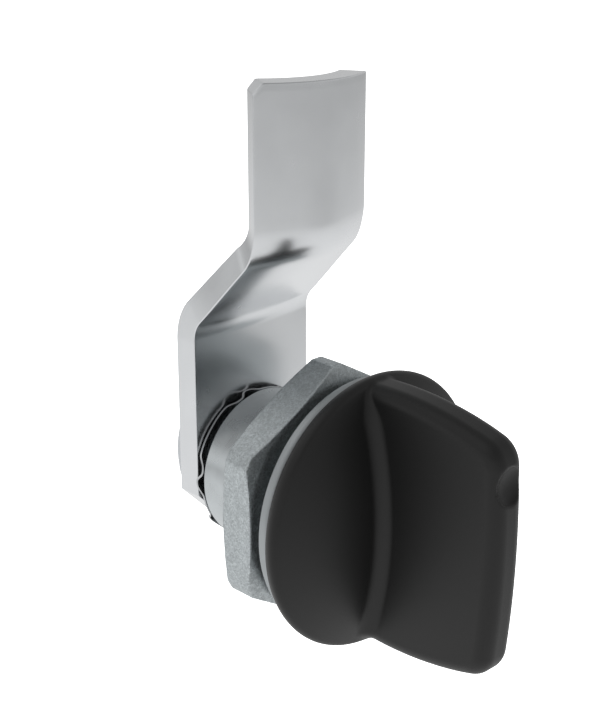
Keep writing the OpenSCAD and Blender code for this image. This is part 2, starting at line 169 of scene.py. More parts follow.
class LatchWashers(bpy.types.PropertyGroup):
    """Sizes of the wave washer and of the toothed lock washer."""
    wave_in_d: size("Wave Inner", "Inner diameter of the wave washer", 12.6)
    wave_out_d: size("Wave Outer", "Outer diameter of the wave washer", 17.8)
    wave_t: size("Wave Thickness", "Thickness of the wave washer's strip", 0.25)
    wave_y: size("Wave Station", "Station of the wave washer's middle", 15.475)
    wave_lift: size("Wave Lift", "Height of the ripples", 0.45)
    wave_turn: angle("Wave Turn", "Direction of the middle of a raised part", 140)
    wave_n: bpy.props.IntProperty(name="Repeats", description="How often the folds repeat", default=3, min=2)
    lock_in_d: size("Lock Inner", "Inner diameter of the lock washer", 6.2)
    lock_out_d: size("Lock Outer", "Outer diameter over the lock washer's teeth", 12)
    lock_root_d: size("Lock Root", "Diameter at which the teeth leave the ring", 9.8)
    lock_t: size("Lock Thickness", "Space that the twisted teeth take", 0.8)
    lock_y: size("Lock Station", "Station of the lock washer's middle", 19.5)
    lock_teeth: bpy.props.IntProperty(name="Teeth", description="Teeth on the lock washer", default=10, min=4)


class LatchCam(bpy.types.PropertyGroup):
    """Sizes of the cranked cam."""
    width: size("Width", "Width of the cam", 17.3)
    thickness: size("Thickness", "Thickness of the cam", 3)
    length: size("Length", "Length of the cam from the axis to its tip", 45.6)
    tail: size("Tail", "Length of the cam below the axis", 7.8)
    front_y: size("Front Station", "Station of the shank's front face", 16.1)
    crank_z: size("Crank Height", "Height at which the cam leaves its flat shank", 16.2)
    crank: angle("Crank Angle", "Angle of the cranked part", 49)
    crank_y: size("Crank Depth", "Distance that the cam's middle is cranked forward", 11.7)
    bend_r: size("Bend Radius", "Inner radius of the cam's bends", 3.35)
    crown_r: size("Crown Radius", "Radius of the tip's crowned front", 15.6)
    crown_z: size("Crown Height", "Height at which the crown has its full depth", 29)
    tip_cut: size("Tip Cut", "Size of the cut corner at the tip", 1.05)
    tip_slope: angle("Tip Slope", "Slope of the tip's end across the cam", 2.5)
    tail_cut: size("Tail Cut", "Size of the cut corners at the tail", 5.7)
    square: size("Square Hole", "Width of the square hole for the spindle", 8.1)
    edge_r: size("Edge Rounding", "Rounding of the cam's edges", 0.15)


class LatchFinish(bpy.types.PropertyGroup):
    """Colours of the latch's materials."""
    polyamide: colour("Polyamide", "Black of the moulded knob", "#171717")
    die_cast_zinc: colour("Die-Cast Zinc", "Satin grey of the housing and spindle", "#c4c9cb")
    galvanised: colour("Galvanised Steel", "Middle grey of the nut's zinc coat", "#bcc2c4")
    stainless: colour("Stainless Steel", "Cool grey of the cam", "#dbdddf")
    spring_steel: colour("Spring Steel", "Grey of the wave washer and rings", "#bcbec0")
    bright_zinc: colour("Bright Zinc", "Bluish silver of the plated screw", "#c8cbce")
    rubber: colour("Rubber", "Black of the seals", "#131313")


class LatchStage(bpy.types.PropertyGroup):
    """Camera, floor and light."""
    camera_x: size("Camera X", "Camera position across the part", -110.78)
    camera_y: size("Camera Y", "Camera position along the part", -105.045)
    camera_z: size("Camera Z", "Camera position above the axis", 73.482)
    camera_yaw: angle("Camera Yaw", "Heading of the camera from the turning axis", 44.319)
    camera_pitch: angle("Camera Pitch", "Downward tilt of the camera", 20.493)
    camera_lens: bpy.props.FloatProperty(
        name="Lens", description="Focal length for a 36 mm sensor", default=76.84, subtype="DISTANCE_CAMERA")
    floor_z: size("Floor Height", "Height of the floor", -70)
    floor_w: size("Floor Width", "Side of the square floor", 9000)
    floor_colour: colour("Floor", "Pale colour of the floor", "#f2f2f2")


SIZE_GROUPS = (LatchKnob, LatchHousing, LatchHexagons, LatchWashers, LatchCam, LatchFinish, LatchStage)


def settings_of(group_class):
    """The scene's values of one group, with its lengths in millimetres."""
    group = getattr(bpy.context.scene, scene_name(group_class))
    values = {}
    for key in group_class.__annotations__:
        scale = 1 / MM if group.bl_rna.properties[key].unit == "LENGTH" else 1
        value = getattr(group, key)
        values[key] = list(value) if hasattr(value, "__len__") else value * scale
    return SimpleNamespace(**values)


def scene_name(group_class):
    """Name of the scene property that holds a group, such as latch_knob."""
    return "latch_" + group_class.__name__.removeprefix("Latch").lower()


def fill(tree, node, inputs):
    """Sets a node's inputs, or links those that are given a socket."""
    for key, value in inputs.items():
        if isinstance(value, bpy.types.NodeSocket):
            tree.links.new(value, node.inputs[key])
        else:
            node.inputs[key].default_value = value


def add_node(tree, kind, inputs=None, **settings):
    """Adds a node to a tree, sets its attributes, and fills or links its inputs."""
    node = tree.nodes.new(kind)
    for key, value in settings.items():
        setattr(node, key, value)
    fill(tree, node, inputs or {})
    return node


def new_material(name):
    """An empty node material with its tree, shader and Object coordinates."""
    material = bpy.data.materials.new(name)
    material.use_nodes = True
    tree = material.node_tree
    coords = add_node(tree, "ShaderNodeTexCoord").outputs["Object"]
    return material, tree, tree.nodes["Principled BSDF"], coords


def per_metre(mm):
    """Texture scale that repeats a pattern every so many millimetres."""
    return 1 / (mm * MM)


def shaded(rgba, factor):
    """A colour made darker or lighter by a factor."""
    return [min(1.0, c * factor) for c in rgba[:3]] + [1.0]


def mottled(tree, pattern, rgba, dark, light):
    """A colour that drifts with a pattern between a darker and a lighter shade."""
    mix = add_node(tree, "ShaderNodeMix", {
        "Factor": pattern, "A": shaded(rgba, dark), "B": shaded(rgba, light)}, data_type="RGBA")
    return mix.outputs["Result"]


def moulded_polyamide(rgba):
    """Moulded polyamide: a black satin skin with its mould's spark-eroded grain, drawn coarse to show."""
    material, tree, shader, coords = new_material("moulded_black_polyamide")
    grain = add_node(tree, "ShaderNodeTexNoise", {"Vector": coords, "Scale": per_metre(0.18), "Detail": 2.0})
    flow = add_node(tree, "ShaderNodeTexNoise", {"Vector": coords, "Scale": per_metre(9), "Detail": 3.0})
    gloss = add_node(tree, "ShaderNodeMapRange", {
        "Value": grain.outputs["Fac"], "To Min": 0.4, "To Max": 0.5})
    bump = add_node(tree, "ShaderNodeBump", {
        "Height": grain.outputs["Fac"], "Strength": 0.12, "Distance": 0.02 * MM})
    fill(tree, shader, {
        "Base Color": mottled(tree, flow.outputs["Fac"], rgba, 0.85, 1.15), "Specular IOR Level": 0.4,
        "Roughness": gloss.outputs["Result"], "Normal": bump.outputs["Normal"]})
    return material


def die_cast_zinc(rgba):
    """Die-cast zinc: satin with soft flow marks, bright where turned; on the flange it is rougher, and its
    colour is darkened as painted shade of the knob's overhang.
    """
    material, tree, shader, coords = new_material("satin_die_cast_zinc")
    flow = add_node(tree, "ShaderNodeTexNoise", {
        "Vector": coords, "Scale": per_metre(2.6), "Detail": 3.0, "Distortion": 0.6})
    fine = add_node(tree, "ShaderNodeTexNoise", {"Vector": coords, "Scale": per_metre(0.25), "Detail": 2.0})
    along = add_node(tree, "ShaderNodeSeparateXYZ", {"Vector": coords})
    # Painted shade: in front of Y = 0.1 mm the colour is darkened to 0.76 for the knob's overhang, and the
    # roughness is raised by 0.2.
    flange_shade_and_matte = add_node(tree, "ShaderNodeMapRange", {
        "Value": along.outputs["Y"], "From Min": 0.1 * MM, "From Max": 0.5 * MM,
        "To Min": 1.0, "To Max": 0.0})
    tone = add_node(tree, "ShaderNodeMix", {
        "Factor": flange_shade_and_matte.outputs["Result"], "A": mottled(tree, flow.outputs["Fac"], rgba, 0.8, 1.12),
        "B": shaded(rgba, 0.76)}, data_type="RGBA")
    turned = add_node(tree, "ShaderNodeMapRange", {
        "Value": flow.outputs["Fac"], "To Min": 0.2, "To Max": 0.38})
    gloss = add_node(tree, "ShaderNodeMath", {
        0: flange_shade_and_matte.outputs["Result"], 1: 0.2, 2: turned.outputs["Result"]}, operation="MULTIPLY_ADD")
    bump = add_node(tree, "ShaderNodeBump", {
        "Height": fine.outputs["Fac"], "Strength": 0.05, "Distance": 0.01 * MM})
    fill(tree, shader, {
        "Base Color": tone.outputs["Result"], "Metallic": 1.0,
        "Roughness": gloss.outputs["Value"], "Normal": bump.outputs["Normal"]})
    return material


def galvanised_steel(rgba):
    """Hot-dip galvanised steel: a dull coat of fine zinc crystals that lie at different angles."""
    material, tree, shader, coords = new_material("hot_dip_galvanised_steel")
    crystals = add_node(tree, "ShaderNodeTexVoronoi", {"Vector": coords, "Scale": per_metre(0.16)})
    facet = add_node(tree, "ShaderNodeSeparateColor", {"Color": crystals.outputs["Color"]})
    clouds = add_node(tree, "ShaderNodeTexNoise", {"Vector": coords, "Scale": per_metre(0.9), "Detail": 4.0})
    mottle = add_node(tree, "ShaderNodeMath", {
        0: facet.outputs["Red"], 1: clouds.outputs["Fac"], 2: 0.15}, operation="MULTIPLY_ADD")
    gloss = add_node(tree, "ShaderNodeMapRange", {
        "Value": facet.outputs["Green"], "To Min": 0.36, "To Max": 0.6})
    bump = add_node(tree, "ShaderNodeBump", {
        "Height": facet.outputs["Blue"], "Strength": 0.3, "Distance": 0.02 * MM})
    fill(tree, shader, {
        "Base Color": mottled(tree, mottle.outputs["Value"], rgba, 0.72, 1.4), "Metallic": 1.0,
        "Roughness": gloss.outputs["Result"], "Normal": bump.outputs["Normal"]})
    return material


def tumbled_stainless(rgba):
    """Tumbled stainless steel: a soft mirror, with a faint haze left by the polishing stones."""
    material, tree, shader, coords = new_material("tumbled_stainless_steel")
    haze = add_node(tree, "ShaderNodeTexNoise", {"Vector": coords, "Scale": per_metre(4), "Detail": 4.0})
    fine = add_node(tree, "ShaderNodeTexNoise", {"Vector": coords, "Scale": per_metre(0.3), "Detail": 2.0})
    gloss = add_node(tree, "ShaderNodeMapRange", {
        "Value": haze.outputs["Fac"], "To Min": 0.22, "To Max": 0.3})
    bump = add_node(tree, "ShaderNodeBump", {
        "Height": fine.outputs["Fac"], "Strength": 0.04, "Distance": 0.01 * MM})
    fill(tree, shader, {
        "Base Color": mottled(tree, haze.outputs["Fac"], rgba, 0.93, 1.05), "Metallic": 1.0,
        "Roughness": gloss.outputs["Result"], "Normal": bump.outputs["Normal"]})
    return material


def rolled_steel(name, rgba, rough_min, rough_max):
    """Rolled or plated steel: a bright even surface with a fine grain in its gloss."""
    material, tree, shader, coords = new_material(name)
    fine = add_node(tree, "ShaderNodeTexNoise", {"Vector": coords, "Scale": per_metre(0.35), "Detail": 3.0})
    gloss = add_node(tree, "ShaderNodeMapRange", {
        "Value": fine.outputs["Fac"], "To Min": rough_min, "To Max": rough_max})
    fill(tree, shader, {
        "Base Color": mottled(tree, fine.outputs["Fac"], rgba, 0.88, 1.08), "Metallic": 1.0,
        "Roughness": gloss.outputs["Result"]})
    return material


def moulded_rubber(rgba):
    """Moulded nitrile rubber: a dull black skin with a fine powdery bloom."""
    material, tree, shader, coords = new_material("moulded_nitrile_rubber")
    bloom = add_node(tree, "ShaderNodeTexNoise", {"Vector": coords, "Scale": per_metre(0.5), "Detail": 4.0})
    gloss = add_node(tree, "ShaderNodeMapRange", {
        "Value": bloom.outputs["Fac"], "To Min": 0.62, "To Max": 0.78})
    fill(tree, shader, {
        "Base Color": mottled(tree, bloom.outputs["Fac"], rgba, 0.8, 1.4), "IOR": 1.52,
        "Roughness": gloss.outputs["Result"]})
    return material


def material_for(slot):
    """The material of one of the record's slots, made once."""
    found = bpy.data.materials.get(SLOT_MATERIALS[slot][0])
    return found or SLOT_MATERIALS[slot][1](settings_of(LatchFinish))


SLOT_MATERIALS = {
    "black_plastic": ("moulded_black_polyamide", lambda f: moulded_polyamide(f.polyamide)),
    "die_cast_zinc": ("satin_die_cast_zinc", lambda f: die_cast_zinc(f.die_cast_zinc)),
    "galvanised_steel": ("hot_dip_galvanised_steel", lambda f: galvanised_steel(f.galvanised)),
    "stainless_steel": ("tumbled_stainless_steel", lambda f: tumbled_stainless(f.stainless)),
    "spring_steel": ("rolled_spring_steel",
                     lambda f: rolled_steel("rolled_spring_steel", f.spring_steel, 0.18, 0.3)),
    "bright_steel": ("zinc_plated_steel",
                     lambda f: rolled_steel("zinc_plated_steel", f.bright_zinc, 0.22, 0.34)),
    "seal_rubber": ("moulded_nitrile_rubber", lambda f: moulded_rubber(f.rubber)),
}


def mesh_piece(name, points, faces, normals=None):
    """A new smooth-shaded object from points in millimetres."""
    mesh = bpy.data.meshes.new(name)
    rings = faces.tolist() if isinstance(faces, np.ndarray) else faces
    mesh.from_pydata((np.asarray(points) * MM).tolist(), [], rings)
    mesh.polygons.foreach_set("use_smooth", np.ones(len(mesh.polygons), bool))
    if normals is not None:
        mesh.normals_split_custom_set_from_vertices(normals.tolist())
    mesh.update()
    piece = bpy.data.objects.new(name, mesh)
    bpy.context.scene.collection.objects.link(piece)
    return piece


def settle(piece, slot, body, *nodes):
    """Gives a piece its finish and body, and lets it stand for its CAD nodes."""
    piece.data.materials.clear()
    piece.data.materials.append(material_for(slot))
    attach(piece, body)
    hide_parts(*nodes)


def apply_modifiers(piece):
    """Turns a piece with its modifiers into a plain mesh."""
    evaluated = piece.evaluated_get(bpy.context.evaluated_depsgraph_get())
    mesh = bpy.data.meshes.new_from_object(evaluated)
    piece.modifiers.clear()
    piece.data = mesh
    mesh.name = piece.name


def round_cut(a, b, r):
    """Distance to the common part of two solids, with their shared edge rounded to radius r."""
    u, v = np.maximum(a + r, 0), np.maximum(b + r, 0)
    return np.minimum(-r, np.maximum(a, b)) + np.hypot(u, v)


def round_join(a, b, r):
    """Distance to two solids together, with a fillet of radius r in their corner."""
    u, v = np.maximum(r - a, 0), np.maximum(r - b, 0)
    return np.maximum(r, np.minimum(a, b)) - np.hypot(u, v)


def surface_net(solid, low, high, step):
    """Points, outward quads and normals of the surface where a solid's distance is zero."""
    low = np.asarray(low, float)
    counts = np.ceil((np.asarray(high) - low) / step).astype(int) + 1
    axes = [low[i] + step * np.arange(counts[i]) for i in range(3)]
    inside = solid(*np.meshgrid(*axes, indexing="ij")) < 0
    cells = counts - 1
    filled = sum(inside[i:cells[0] + i, j:cells[1] + j, k:cells[2] + k].astype(np.int8)
                 for i, j, k in itertools.product((0, 1), repeat=3))
    crossed = (filled > 0) & (filled < 8)
    index = np.full(crossed.shape, -1)
    index[crossed] = np.arange(crossed.sum())
    points = low + step * (np.argwhere(crossed) + 0.5)
    quads = []
    for axis in range(3):
        side, up = (axis + 1) % 3, (axis + 2) % 3
        near, far = (np.take(inside, range(k, counts[axis] - 1 + k), axis) for k in (0, 1))
        edges = np.argwhere(near != far)
        to_side, to_up = np.eye(3, dtype=int)[side], np.eye(3, dtype=int)[up]
        ring = [edges - to_side - to_up, edges - to_up, edges, edges - to_side]
        loop = np.stack([index[tuple(r.T)] for r in ring], -1)
        backwards = ~near[tuple(edges.T)]
        loop[backwards] = loop[backwards][:, ::-1]
        quads.append(loop)
    for _ in range(4):
        slope = gradient(solid, points, step * 0.05)
        move = solid(*points.T) / np.maximum((slope ** 2).sum(1), 0.2)
        points = points - slope * np.clip(move, -step / 2, step / 2)[:, None]
    slope = gradient(solid, points, step * 0.05)
    return points, np.vstack(quads), slope / np.linalg.norm(slope, axis=1)[:, None]


def gradient(solid, points, h):
    """Slope of a solid's distance at some points."""
    return np.stack([(solid(*(points + d).T) - solid(*(points - d).T)) / (2 * h) for d in np.eye(3) * h], -1)


def turned_piece(name, profile, steps=192, arc_steps=6):
    """A ring turned about the Y axis from a closed profile of (radius, station, corner rounding)."""
    line = []
    befores, afters = profile[-1:] + profile[:-1], profile[1:] + profile[:1]
    for before, (r, y, rounding), after in zip(befores, profile, afters):
        corner, a, b = (np.array(p[:2], float) for p in ((r, y), before, after))
        to_a, to_b = (a - corner) / np.linalg.norm(a - corner), (b - corner) / np.linalg.norm(b - corner)
        half = math.acos(np.clip(to_a @ to_b, -1, 1)) / 2
        if rounding <= 0 or half > math.radians(89):
            line.append(corner)
            continue
        middle = corner + (to_a + to_b) / np.linalg.norm(to_a + to_b) * rounding / math.sin(half)
        first, last = (corner + t * rounding / math.tan(half) - middle for t in (to_a, to_b))
        spread = math.pi / 2 - half
        for s in np.linspace(0, 1, arc_steps + 1):
            way = first * math.sin((1 - s) * spread) + last * math.sin(s * spread)
            line.append(middle + way / np.linalg.norm(way) * rounding)
    line = np.array(line)
    turns = np.linspace(0, 2 * math.pi, steps, endpoint=False)
    points = np.stack([np.outer(np.cos(turns), line[:, 0]), np.tile(line[:, 1], (steps, 1)),
                       np.outer(np.sin(turns), line[:, 0])], -1).reshape(-1, 3)
    count = len(line)
    i, j = (g.ravel() for g in np.meshgrid(np.arange(steps), np.arange(count), indexing="ij"))
    n, m = (i + 1) % steps, (j + 1) % count
    faces = np.stack([i * count + j, i * count + m, n * count + m, n * count + j], -1)
    return mesh_piece(name, points, faces)


def cut_prism(piece, outline, low_y, high_y):
    """Cuts a prism out of a piece, from an outline of (x, z) that runs anticlockwise from +X to +Z."""
    count = len(outline)
    points = [(x, y, z) for y in (low_y, high_y) for x, z in outline]
    faces = [tuple(range(count)), tuple(range(2 * count - 1, count - 1, -1))]
    faces += [(i, count + i, count + (i + 1) % count, (i + 1) % count) for i in range(count)]
    prism = mesh_piece("prism", points, faces)
    cut = piece.modifiers.new("prism", "BOOLEAN")
    cut.operation, cut.object, cut.solver = "DIFFERENCE", prism, "EXACT"
    apply_modifiers(piece)
    bpy.data.objects.remove(prism)


def flatten_normals(piece):
    """Lets large flat faces keep their own normals next to narrow rounded edges."""
    weighted = piece.modifiers.new("flat faces", "WEIGHTED_NORMAL")
    weighted.mode = "FACE_AREA"
    apply_modifiers(piece)


def node_tree(name, sizes):
    """A Geometry Nodes tree with named float inputs, a material input and a geometry output."""
    tree = bpy.data.node_groups.new(name, "GeometryNodeTree")
    for label in sizes:
        tree.interface.new_socket(label, in_out="INPUT", socket_type="NodeSocketFloat")
    tree.interface.new_socket("Material", in_out="INPUT", socket_type="NodeSocketMaterial")
    tree.interface.new_socket("Geometry", in_out="OUTPUT", socket_type="NodeSocketGeometry")
    return tree, add_node(tree, "NodeGroupInput").outputs


def end_tree(tree, geometry, given, station):
    """Turns a tree's geometry from its own Z axis to the latch's Y axis, and closes the tree."""
    place = add_node(tree, "ShaderNodeCombineXYZ", {"Y": station})
    turned = add_node(tree, "GeometryNodeTransform", {
        "Geometry": geometry, "Translation": place.outputs["Vector"], "Rotation": (math.pi / 2, 0, 0)})
    real = add_node(tree, "GeometryNodeRealizeInstances", {"Geometry": turned.outputs["Geometry"]})
    smooth = add_node(tree, "GeometryNodeSetShadeSmooth", {
        "Geometry": real.outputs["Geometry"], "Shade Smooth": False})
    finish = add_node(tree, "GeometryNodeSetMaterial", {
        "Geometry": smooth.outputs["Geometry"], "Material": given["Material"]})
    add_node(tree, "NodeGroupOutput", {"Geometry": finish.outputs["Geometry"]})


def grown_piece(name, tree, sizes, slot):
    """A plain mesh object grown by a Geometry Nodes tree from its named sizes."""
    piece = bpy.data.objects.new(name, bpy.data.meshes.new(name))
    bpy.context.scene.collection.objects.link(piece)
    grower = piece.modifiers.new("grow", "NODES")
    grower.node_group = tree
    for item in tree.interface.items_tree:
        if item.in_out == "INPUT":
            grower[item.identifier] = material_for(slot) if item.name == "Material" else sizes[item.name]
    apply_modifiers(piece)
    return piece


def circles_meet(first, first_r, second, second_r, side):
    """Point where two circles meet, to the left (1) or right (-1) of the line between them."""
    gap = np.subtract(second, first)
    d = math.hypot(*gap)
    along = (first_r ** 2 - second_r ** 2 + d * d) / (2 * d)
    across = math.sqrt(first_r ** 2 - along ** 2) * side
    return first + (gap * along + np.array((-gap[1], gap[0])) * across) / d


def arc_corner(a, b, u, v, middle, from_a, to_b, r):
    """Distance to the common part of two solids whose edge is an arc, drawn in the (u, v) plane."""
    p, q = u - middle[0], v - middle[1]
    in_arc = (from_a[0] * q - from_a[1] * p >= 0) & (p * to_b[1] - q * to_b[0] >= 0)
    return np.where(in_arc, np.hypot(p, q) - r, np.maximum(a, b))


def ease(value, start, stop):
    """Smooth step from 0 at start to 1 at stop."""
    t = np.clip((value - start) / (stop - start), 0, 1)
    return t * t * (3 - 2 * t)


def knob_solid(k):
    """Distance function of the wing knob: a domed disc, a rounded wing, their fillet and the hub."""
    disc_r, rim_y = k.disc_d / 2, k.back_y - k.back_r
    rim_c, back_c = disc_r - k.rim_r, disc_r - k.back_r
    dome_y = rim_y + math.sqrt((k.dome_r - k.rim_r) ** 2 - rim_c ** 2)
    apex_y = dome_y - k.dome_r
    front_c = np.array((k.front_y + k.wing_front_r, k.wing_front_z))
    bow_c = {1: np.array((apex_y, k.wing_up - k.wing_bow_r)),
             -1: np.array((apex_y, k.wing_bow_r - k.wing_down))}
    inner_front, inner_bow = k.wing_front_r - k.wing_corner_r, k.wing_bow_r - k.wing_corner_r
    corners = {s: circles_meet(front_c, inner_front, bow_c[s], inner_bow, -s) for s in (1, -1)}
    nose_start, nose_full = k.front_y + 5, k.front_y + 1
    top_fade, bottom_fade = (11.5, 15.2), (13.5, 15.5)
    dimple_edge_r = 0.15

    def outline(y, z):
        front = np.hypot(y - front_c[0], z - front_c[1]) - k.wing_front_r
        sides = []
        for s in (1, -1):
            bow = np.hypot(y - bow_c[s][0], z - bow_c[s][1]) - k.wing_bow_r
            rays = corners[s] - bow_c[s], corners[s] - front_c
            sides.append(arc_corner(bow, front, y, z, corners[s], *rays[::s], k.wing_corner_r))
        return np.maximum(*sides)

    def solid(x, y, z):
        radius = np.hypot(x, z)
        dome = np.sqrt(radius ** 2 + (y - dome_y) ** 2) - k.dome_r
        wall = radius - disc_r
        front = arc_corner(dome, wall, radius, y, (rim_c, rim_y), (rim_c, rim_y - dome_y), (1, 0), k.rim_r)
        back = arc_corner(wall, y - k.back_y, radius, y, (back_c, rim_y), (1, 0), (0, 1), k.back_r)
        disc = np.where(y < rim_y, front, back)
        nose = ease(y, nose_start, nose_full)
        edge_r = k.wing_edge_r + (k.nose_r - k.wing_edge_r) * nose
        wing = round_cut(outline(y, z), np.abs(x) - k.wing_t / 2, edge_r)
        wing = np.maximum(wing, y - rim_y)
        root = k.root_r * (1 - 0.75 * ease(z, *top_fade) - 0.5 * ease(-z, *bottom_fade))
        body = np.maximum(round_join(disc, wing, root), wall)
        body = np.maximum(body, y - k.back_y)
        body = np.maximum(body, -np.maximum(radius - k.recess_d / 2, k.recess_y - y))
        body = np.minimum(body, np.maximum(np.maximum(radius - k.hub_d / 2, rim_y - y), y - k.hub_y))
        socket = np.maximum(np.maximum(np.abs(x), np.abs(z)) - k.socket_w / 2, k.socket_y - y)
        body = np.maximum(body, -socket)
        body = np.maximum(body, k.pin_d / 2 - np.hypot(y - k.pin_y, z))
        reach = np.sqrt(((y - k.front_y) / k.dimple_depth) ** 2
                        + (x ** 2 + (z - k.dimple_z) ** 2) / (k.dimple_d / 2) ** 2)
        return round_cut(body, (1 - reach) * k.dimple_depth, dimple_edge_r)

    return solid


class LATCH_OT_knob(bpy.types.Operator):
    """Build the wing knob as one smooth moulding"""
    bl_idname = "latch.knob"
    bl_label = "Wing Knob"

    def execute(self, context):
        k = settings_of(LatchKnob)
        room = 0.5
        low = (-k.disc_d / 2 - room, k.front_y - room, -k.disc_d / 2 - room)
        high = (k.disc_d / 2 + room, k.hub_y + room, k.disc_d / 2 + room)
        knob = mesh_piece("wing_knob", *surface_net(knob_solid(k), low, high, KNOB_GRID))
        settle(knob, "black_plastic", TURNING_BODY, "knob")
        return {"FINISHED"}


def hexagon_distance(x, z, across, turn):
    """Distance to the sides of a hexagon in the XZ plane, with a side facing the angle turn."""
    sides = [x * math.cos(a) + z * math.sin(a) for a in (turn, turn + math.pi / 3, turn + 2 * math.pi / 3)]
    return np.maximum.reduce([np.abs(s) for s in sides]) - across / 2


def nut_solid(h):
    """Distance function of the panel nut, with chamfered faces and cut corners."""
    slope, land = h.nut_chamfer, 0.15
    start_r, back_y = h.nut_af / 2 - land, h.nut_y + h.nut_t

    def solid(x, y, z):
        radius = np.hypot(x, z)
        body = round_cut(hexagon_distance(x, z, h.nut_af, 0),
                         hexagon_distance(x, z, 2 * h.nut_corner_r, math.pi / 6), h.edge_r)
        for depth in (y - h.nut_y, back_y - y):
            chamfer = (radius - start_r) * math.sin(slope) - depth * math.cos(slope)
            body = round_cut(body, round_cut(chamfer, -depth, h.edge_r), h.edge_r)
        return round_cut(body, h.nut_bore_d / 2 - radius, h.edge_r)

    return solid


def screw_solid(h):
    """Distance function of the cam screw: a chamfered hexagon head on a plain shank."""
    start_r, back_y = h.head_af / 2 - 0.15, h.head_y + h.head_h

    def solid(x, y, z):
        radius = np.hypot(x, z)
        head = hexagon_distance(x, z, h.head_af, 0)
        chamfer = (radius - start_r) * math.sin(h.head_chamfer) - (back_y - y) * math.cos(h.head_chamfer)
        head = round_cut(head, round_cut(chamfer, y - back_y, h.edge_r), h.edge_r)
        head = round_cut(head, h.head_y - y, h.edge_r / 2)
        shank = np.maximum(np.maximum(radius - h.shank_d / 2, h.shank_y - y), y - h.head_y - 0.5)
        return np.minimum(head, shank)

    return solid


class LATCH_OT_hexagons(bpy.types.Operator):
    """Build the galvanised panel nut and the plated cam screw"""
    bl_idname = "latch.hexagons"
    bl_label = "Panel Nut and Cam Screw"

    def execute(self, context):
        h = settings_of(LatchHexagons)
        reach, room = h.nut_corner_r * 1.06, 0.4
        nut = mesh_piece("panel_nut_galvanised", *surface_net(
            nut_solid(h), (-reach, h.nut_y - room, -reach),
            (reach, h.nut_y + h.nut_t + room, reach), NUT_GRID))
        settle(nut, "galvanised_steel", HOUSING_BODY, "panel_nut")
        reach = h.head_af * 0.62
        screw = mesh_piece("cam_screw_plated", *surface_net(
            screw_solid(h), (-reach, h.shank_y - room, -reach),
            (reach, h.head_y + h.head_h + room, reach), SCREW_GRID))
        settle(screw, "bright_steel", TURNING_BODY, "cam_screw")
        return {"FINISHED"}


def thread_tree():
    """Geometry Nodes tree of the panel thread: a ridge wound round the barrel's core."""
    tree, given = node_tree("panel_thread", ("Root Radius", "Depth", "Pitch", "Length", "Station"))
    turns = add_node(tree, "ShaderNodeMath", {0: given["Length"], 1: given["Pitch"]}, operation="DIVIDE")
    helix = add_node(tree, "GeometryNodeCurveSpiral", {
        "Resolution": 96, "Rotations": turns.outputs[0], "Start Radius": given["Root Radius"],
        "End Radius": given["Root Radius"], "Height": given["Length"], "Reverse": True})
    upright = add_node(tree, "GeometryNodeSetCurveNormal", {"Curve": helix.outputs["Curve"]}, mode="Z_UP")
    diamond = add_node(tree, "GeometryNodeCurvePrimitiveCircle", {"Resolution": 4, "Radius": given["Depth"]})
    ridge = add_node(tree, "GeometryNodeTransform", {
        "Geometry": diamond.outputs["Curve"], "Scale": (1.0, 0.75, 1.0)})
    wound = add_node(tree, "GeometryNodeCurveToMesh", {
        "Curve": upright.outputs["Curve"], "Profile Curve": ridge.outputs["Geometry"], "Fill Caps": True})
    end_tree(tree, wound.outputs["Mesh"], given, given["Station"])
    return tree


class LATCH_OT_housing(bpy.types.Operator):
    """Turn the flanged housing and wind its panel thread"""
    bl_idname = "latch.housing"
    bl_label = "Housing"

    def execute(self, context):
        h = settings_of(LatchHousing)
        root_d = h.thread_d - 1.2 * h.thread_pitch
        profile = [
            (h.hub_pocket_d / 2, h.boss_y, 0.2), (h.boss_d / 2, h.boss_y, 0.3),
            (h.boss_d / 2, -h.flange_t, 0.15), (h.flange_d / 2, -h.flange_t, h.flange_edge_r),
            (h.flange_d / 2, 0, 0.2),
            (h.seal_out_d / 2, 0, 0.08), (h.seal_out_d / 2, h.seal_y, 0.1), (h.seal_in_d / 2, h.seal_y, 0.1),
            (h.seal_in_d / 2, 0, 0.08), (root_d / 2, 0, 0.15), (root_d / 2, h.thread_l, 0.1),
            (h.barrel_d / 2, h.thread_l, 0.05), (h.barrel_d / 2, h.barrel_l, 0.25),
            (h.ring_pocket_d / 2, h.barrel_l, 0.1), (h.ring_pocket_d / 2, h.ring_pocket_y, 0.1),
            (h.bore_d / 2, h.ring_pocket_y, 0.1), (h.bore_d / 2, h.collar_pocket_y, 0.1),
            (h.collar_pocket_d / 2, h.collar_pocket_y, 0.1), (h.collar_pocket_d / 2, h.hub_pocket_y, 0.1),
            (h.hub_pocket_d / 2, h.hub_pocket_y, 0.1),
        ]
        shell = turned_piece("housing_shell", profile)
        turns = -np.linspace(h.stop_start, h.stop_start + h.stop_sweep, 48)
        arcs = [(d / 2 * math.cos(a), d / 2 * math.sin(a))
                for d, way in ((h.stop_in_d, 1), (h.stop_out_d, -1)) for a in turns[::way]]
        cut_prism(shell, arcs, h.hub_pocket_y - 0.5, h.stop_y)
        flatten_normals(shell)
        settle(shell, "die_cast_zinc", HOUSING_BODY, "housing")
        depth = (h.thread_d - root_d) / 2
        thread = grown_piece("panel_thread", thread_tree(), {
            "Root Radius": root_d / 2 * MM, "Depth": depth * MM, "Pitch": h.thread_pitch * MM,
            "Length": (h.thread_l - h.thread_pitch) * MM,
            "Station": (h.thread_l - h.thread_pitch / 2) * MM}, "die_cast_zinc")
        settle(thread, "die_cast_zinc", HOUSING_BODY, "housing")
        return {"FINISHED"}


